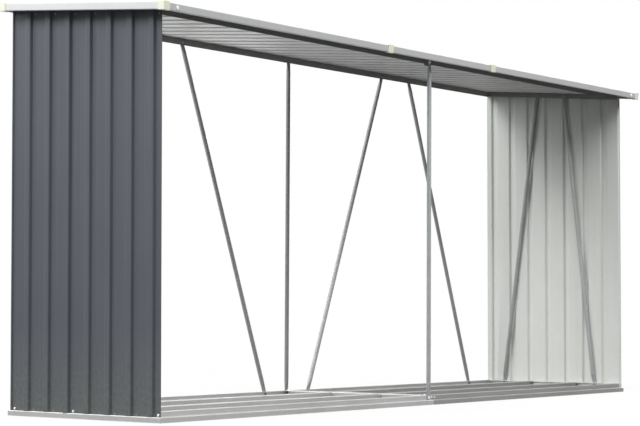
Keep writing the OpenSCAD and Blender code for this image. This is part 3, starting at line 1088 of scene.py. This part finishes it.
class Kind(Enum):
    """The kinds of fastener, by the finish and the parts of each."""

    HEX_BOLT = (BRIGHT_ZINC, WASHER, BOLT_HEAD)
    HEX_NUT = (DULL_ZINC, WASHER, NUT, BOLT_END)
    PAN_BOLT = (BRIGHT_ZINC, PAN_WASHER, PAN_HEAD)
    SCREW = (DULL_ZINC, SCREW_HEAD)
    DOME_BOLT = (BRIGHT_ZINC, DOME_HEAD)
    STUD = (BRIGHT_ZINC, STUD_HEAD)

    def model(self, finishes: Finishes) -> Piece:
        """Build, join, smooth and dress the parts of one fastener at the origin.

        Args:
            finishes: The store's materials.

        Returns:
            The fastener.
        """
        finish, *parts = self.value
        piece = join([part.build() for part in parts], self.name.lower())
        smooth(piece)
        finishes.dress(piece, finish)
        return piece


@dataclass(frozen=True)
class Spot:
    """A place for one fastener: the point it sits on, the way it faces and its turn."""

    point: Vector
    facing: Vector
    twist: float = 0.0

    def matrix(self) -> Matrix:
        """Give the transform that brings a fastener made at the origin here.

        Returns:
            The transform.
        """
        turn = UP.rotation_difference(self.facing).to_matrix().to_4x4()
        spin = Matrix.Rotation(self.twist, 4, "Z")
        return Matrix.Translation(self.point) @ turn @ spin


@dataclass
class Fasteners:
    """Bolts, screws and nuts, each kind modelled once and copied to its places.

    First_rib is how many rib pitches the first rib's front foot lies from the wall's back edge, edge_ribs the
    width of the folded edge in pitches, and twist_rate the turn of a wall fastener for each metre along Y.
    """

    layout: Layout
    finishes: Finishes
    wall_ribs: int = 7
    first_rib: float = 0.977
    edge_ribs: float = 0.25
    lap_rib: int = 2
    low_screw_ribs: tuple[int, ...] = (0, 1, 4, 5)
    high_screw_ribs: tuple[int, ...] = (0, 1, 2, 3, 6)
    screw_step: float = 17.0 * MM
    screw_rise: float = 4.5 * MM
    screw_drop: float = 15.0 * MM
    bolt_rise: float = 6.5 * MM
    back_bolt_inset: float = 18.3 * MM
    front_bolt_inset: float = 11.2 * MM
    twist_rate: float = 9.0
    trim_bolt_inset: float = 68.5 * MM
    roof_screw_count: int = 11
    roof_screw_inset: float = 150.0 * MM
    joint_offsets: tuple[float, ...] = (4.8 * MM, 24.0 * MM)
    return_bolt_places: tuple[float, ...] = (-46.0 * MM, -13.0 * MM)
    return_bolt_inset: float = 8.0 * MM
    far_footed: tuple[str, ...] = (
        "back_brace_left_inner", "back_brace_right_outer", "left_wall_brace_back", "right_wall_brace_back",
    )

    def build(self) -> None:
        """Model each kind and place all of its copies."""
        models = {kind: kind.model(self.finishes) for kind in Kind}
        bolts = [spot for side in LONG_SIDES for spot in self.tube_ends(side, GAUGE.tab)]
        nuts = [spot for side in Side for spot in self.tube_ends(side, -GAUGE.rail_sheet)]
        for kind, spots, name, slot in (
            (Kind.PAN_BOLT, self.wall_bolts(), "wall_bolts", Slot.WALL_SHEET),
            (Kind.SCREW, self.wall_screws(), "wall_screws", Slot.WALL_SHEET),
            (Kind.HEX_BOLT, bolts, "tube_bolts", Slot.TUBES),
            (Kind.HEX_NUT, nuts, "tube_nuts", Slot.TUBES),
            (Kind.DOME_BOLT, self.trim_bolts(), "trim_bolts", Slot.EDGE_TRIM),
            (Kind.SCREW, self.roof_screws(), "roof_screws", Slot.ROOF_SHEET),
            (Kind.STUD, self.rail_bolts(), "base_rail_bolts", Slot.BASE_RAILS),
            (Kind.HEX_BOLT, self.return_bolts(), "rail_return_bolts", Slot.BASE_RAILS),
        ):
            self.place(models[kind], spots, name, slot)
        for model in models.values():
            bpy.data.objects.remove(model)

    @staticmethod
    def place(model: Piece, spots: Iterable[Spot], name: str, slot: Slot) -> None:
        """Copy a fastener to its spots and join the copies.

        Args:
            model: The fastener at the origin.
            spots: Where the copies sit.
            name: Name of the joined piece.
            slot: Slot of the joined piece.
        """
        copies = []
        for spot in spots:
            copy = bpy.data.objects.new(name, model.data.copy())
            bpy.context.scene.collection.objects.link(copy)
            copy.matrix_world = spot.matrix()
            copies.append(copy)
        bpy.context.view_layer.update()
        seat(join(copies, name), slot)

    def pan_line(self, rib: int) -> float:
        """Give the Y of the fasteners in the pan in front of one rib of the left wall."""
        pitch = (self.layout.wall_back - self.layout.wall_front) / (self.wall_ribs + self.edge_ribs)
        return self.layout.wall_back - (self.first_rib + rib) * pitch - self.screw_step

    def on_wall(self, end: Side, y: float, rise: float) -> Spot:
        """Give a spot on an end wall's outer face; the right wall is the left one turned end for end.

        Args:
            end: The end of the store.
            y: The spot's Y on the left wall.
            rise: Its height over the wall's bottom or, where negative, against the wall's cut top.

        Returns:
            The spot.
        """
        if end is Side.RIGHT:
            y = 2 * self.layout.middle - y
        z = rise + (self.layout.wall_base if rise > 0.0 else self.layout.wall_top(y))
        return Spot(Vector((end.sign * self.layout.wall_face, y, z)), end.outward, y * self.twist_rate)

    def wall_bolts(self) -> Iterator[Spot]:
        """Yield the bolts at the corners and laps of the end walls."""
        back = self.layout.wall_back - self.back_bolt_inset
        front = self.layout.wall_front + self.front_bolt_inset
        for end in ENDS:
            for y in (back, self.pan_line(self.lap_rib), front):
                yield self.on_wall(end, y, self.bolt_rise)

    def wall_screws(self) -> Iterator[Spot]:
        """Yield the small screws along the bottoms and tops of the end walls."""
        rows = ((self.low_screw_ribs, self.screw_rise), (self.high_screw_ribs, -self.screw_drop))
        for end in ENDS:
            for ribs, rise in rows:
                for rib in ribs:
                    yield self.on_wall(end, self.pan_line(rib), rise)

    def tube_ends(self, side: Side, stand: float) -> Iterator[Spot]:
        """Yield the fasteners at the flattened ends of the posts and braces on one side.

        Args:
            side: The side.
            stand: How far they sit outside the face of the side's rails, or inside it where negative.
        """
        across, along = (0, 1) if side in ENDS else (1, 0)
        facing = side.outward * math.copysign(1.0, stand)
        end = GAUGE.tab_radius
        for node in tubes_on(side):
            low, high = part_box(node)
            foot, top = low[along] + end, high[along] - end
            if node in self.far_footed:
                foot, top = top, foot
            for place, height in ((foot, low.z + end), (top, high.z - end)):
                point = UP * height
                point[along] = place
                point[across] = self.layout.face(side) + side.sign * stand
                yield Spot(point, facing, place)

    def trim_bolts(self) -> Iterator[Spot]:
        """Yield the domed bolts near the ends of the front and back trims."""
        rise = self.layout.roof_up * (GAUGE.trim_height / 2)
        reach = self.layout.roof_half - self.trim_bolt_inset
        for end in ENDS:
            for side in LONG_SIDES:
                point = self.layout.trims[side] + end.outward * reach + rise
                yield Spot(point, self.layout.roof_along * side.sign)

    def roof_screws(self) -> Iterator[Spot]:
        """Yield the screws along the top flanges of the front and back trims."""
        up = self.layout.roof_up
        reach = self.layout.roof_half - self.roof_screw_inset
        inward = self.layout.roof_along * (GAUGE.trim_flange / 2)
        for number in range(self.roof_screw_count):
            share = 2 * number / (self.roof_screw_count - 1) - 1
            offset = Vector((share * reach, 0.0, 0.0)) + up * GAUGE.trim_height
            for side in LONG_SIDES:
                yield Spot(self.layout.trims[side] + offset - inward * side.sign, up)

    def rail_bolts(self) -> Iterator[Spot]:
        """Yield the bolts beside the joints of the long base rails."""
        for side in LONG_SIDES:
            for offset in self.joint_offsets:
                x = self.layout.rail_joint + offset
                yield Spot(Vector((x, self.layout.face(side), self.layout.bolt_level)), side.outward)

    def return_bolts(self) -> Iterator[Spot]:
        """Yield the bolts that stand on the returns of the long base rails, beside the cross rail."""
        for side in LONG_SIDES:
            y = self.layout.face(side) - side.sign * self.return_bolt_inset
            for x in self.return_bolt_places:
                yield Spot(Vector((x, y, self.layout.rail_top)), UP, x)


@dataclass(frozen=True)
class Lamp:
    """A soft lamp: its place and aim, its width and height in metres and its power in watts."""

    name: str
    place: Triple
    aim: Triple
    size: tuple[float, float]
    power: float
    spread: float = math.pi

    def build(self) -> None:
        """Hang the lamp, out of the camera's sight."""
        light = bpy.data.lights.new(self.name, "AREA")
        light.shape = "RECTANGLE"
        light.size, light.size_y = self.size
        light.energy = self.power
        light.spread = self.spread
        lamp = bpy.data.objects.new(self.name, light)
        lamp.location = self.place
        lamp.visible_camera = False
        lamp.rotation_euler = (Vector(self.aim) - Vector(self.place)).to_track_quat("-Z", "Y").to_euler()
        bpy.context.scene.collection.objects.link(lamp)


LAMPS = (
    Lamp("side", (-11.5, 5.2, 8.0), (-1.6, 0.0, 0.8), size=(5.0, 5.0), power=1230.0),
    Lamp("back", (-3.0, 5.0, 3.4), (0.8, 0.0, 0.5), size=(2.8, 2.8), power=118.0),
    Lamp("front", (1.1, -5.2, 5.0), (0.7, 0.0, 0.7), size=(2.4, 2.4), power=185.0),
    Lamp("front_high", (-2.0, -2.6, 5.5), (1.0, -0.3, 0.6), size=(3.0, 3.0), power=135.0),
    Lamp("fill", (-6.5, -5.0, 5.5), (0.0, -0.3, 0.8), size=(3.0, 3.0), power=120.0),
    Lamp("low_card", (1.7, 3.1, 0.75), (-1.5, 0.0, 1.4), size=(1.6, 0.8), power=12.0),
    Lamp(
        "left_card", (-1.0, 1.4, 0.3), (-0.95, 0.0, 1.45), size=(0.8, 0.8), power=2.0,
        spread=math.radians(80.0),
    ),
    Lamp("right", (10.0, 1.5, 5.0), (1.6, 0.0, 0.8), size=(4.0, 4.0), power=600.0),
)


@dataclass
class Studio:
    """Pale floor, white surroundings, soft lamps and the camera.

    The floor's glow is its white share near the store, which grows to the whole from glow_start to
    glow_end, in metres from the origin.
    """

    floor_size: float = 80.0
    floor_color: Triple = (0.9, 0.9, 0.9)
    floor_bounce: Triple = (0.125, 0.125, 0.125)
    floor_glow: float = 0.93
    glow_start: float = 2.5
    glow_end: float = 6.0
    ambient: float = 0.08
    image_width: float = 640.0
    sensor: float = 36.0
    focal_pixels: float = 1792.07
    camera_place: Vector = Vector((-6.0301, -4.6148, 0.3754))
    camera_yaw: float = math.radians(51.2284)
    camera_pitch: float = math.radians(2.1840)
    shift_pixels: float = 32.0

    def build(self) -> None:
        """Set up the whole studio."""
        bpy.context.scene.view_settings.view_transform = "Standard"
        self.build_floor()
        self.build_world()
        for lamp in LAMPS:
            lamp.build()
        self.build_camera()

    def build_floor(self) -> None:
        """Lay a pale floor that looks white and keeps the shadow."""
        bpy.ops.object.select_all(action="DESELECT")
        bpy.ops.mesh.primitive_plane_add(size=self.floor_size)
        floor = bpy.context.object
        floor.name = "studio_floor"
        made = bpy.data.materials.new("studio_floor")
        made.use_nodes = True
        made.node_tree.nodes.clear()
        pen = Pen(made.node_tree)
        pale = pen.add("ShaderNodeBsdfDiffuse", {"Color": rgba(self.floor_color)}).outputs[0]
        glow = pen.add("ShaderNodeEmission", {"Strength": 1.0}).outputs[0]
        place = pen.add("ShaderNodeTexCoord").outputs["Object"]
        distance = pen.add("ShaderNodeVectorMath", {"Vector": place}, operation="LENGTH").outputs["Value"]
        share = pen.remap(distance, Span(self.glow_start, self.glow_end, self.floor_glow, 1.0))
        dull = pen.add("ShaderNodeBsdfDiffuse", {"Color": rgba(self.floor_bounce)}).outputs[0]
        both = pen.layer(self.seen_ray(pen), dull, pen.layer(share, pale, glow))
        pen.add("ShaderNodeOutputMaterial", {"Surface": both})
        floor.data.materials.append(made)

    @staticmethod
    def seen_ray(pen: Pen) -> Socket:
        """Give 1 for rays from the camera, mirrors or glass, and 0 for lighting rays."""
        path = pen.add("ShaderNodeLightPath").outputs
        return pen.math("MAXIMUM", path["Is Camera Ray"], path["Is Glossy Ray"], path["Is Transmission Ray"])

    def build_world(self) -> None:
        """Surround the store with white that lights it only gently."""
        world = bpy.data.worlds.new("studio")
        world.use_nodes = True
        world.node_tree.nodes.clear()
        pen = Pen(world.node_tree)
        gentle, white = (
            pen.add("ShaderNodeBackground", {"Color": rgba(WHITE), "Strength": strength}).outputs[0]
            for strength in (self.ambient, 1.0)
        )
        pen.add("ShaderNodeOutputWorld", {"Surface": pen.layer(self.seen_ray(pen), gentle, white)})
        bpy.context.scene.world = world

    def build_camera(self) -> None:
        """Stand the camera where the photograph was taken from."""
        lens = bpy.data.cameras.new("camera")
        lens.sensor_width = self.sensor
        lens.lens = self.focal_pixels * self.sensor / self.image_width
        lens.shift_y = self.shift_pixels / self.image_width
        camera = bpy.data.objects.new("camera", lens)
        camera.location = self.camera_place
        camera.rotation_euler = (math.pi / 2 + self.camera_pitch, 0.0, -self.camera_yaw)
        bpy.context.scene.collection.objects.link(camera)
        bpy.context.scene.camera = camera


def main() -> None:
    """Build the studio and every piece of the store, in order."""
    logging.basicConfig(level=logging.INFO, format="%(name)s %(message)s")
    Studio().build()
    layout = Layout.from_frame()
    finishes = Finishes()
    SheetWork(layout, finishes).build()
    Tubes(finishes).build()
    Mouldings(finishes).build()
    SplicePlates(layout, finishes).build()
    Fasteners(layout, finishes).build()


if __name__ == "__main__":
    main()
